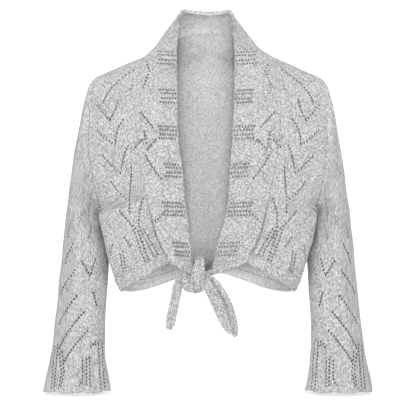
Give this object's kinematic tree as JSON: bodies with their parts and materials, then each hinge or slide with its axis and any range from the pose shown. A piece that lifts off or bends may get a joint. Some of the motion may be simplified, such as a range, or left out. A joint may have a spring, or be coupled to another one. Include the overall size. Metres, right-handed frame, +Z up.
{
  "type": "v-neck cardigan, cropped, with tied fronts",
  "caption": "Cropped pointelle-knit cardigan with a shawl collar, an open V neck, knotted fronts and long flared sleeves, filled out as worn.",
  "frame": {"origin": "on the wearer's shoulders, in the middle of the body at the height of the shoulder seams by the neck", "axes": "+X to the wearer's left, -Y out of the chest, +Z up"},
  "size_m": [0.6068, 0.2447, 0.705],
  "materials": {
    "knit_body": "matt marled light grey knit",
    "knit_sleeve": "matt marled light grey knit",
    "knit_band": "matt light grey rib"
  },
  "bodies": {
    "root": {"back": "knit_body", "front_left": "knit_body", "front_right": "knit_body", "collar": "knit_body", "sleeve_left": "knit_sleeve", "sleeve_right": "knit_sleeve", "hem_band_back": "knit_band", "hem_band_left": "knit_band", "hem_band_right": "knit_band", "tie_left": "knit_band", "tie_right": "knit_band", "knot": "knit_band"}
  },
  "joints": []
}
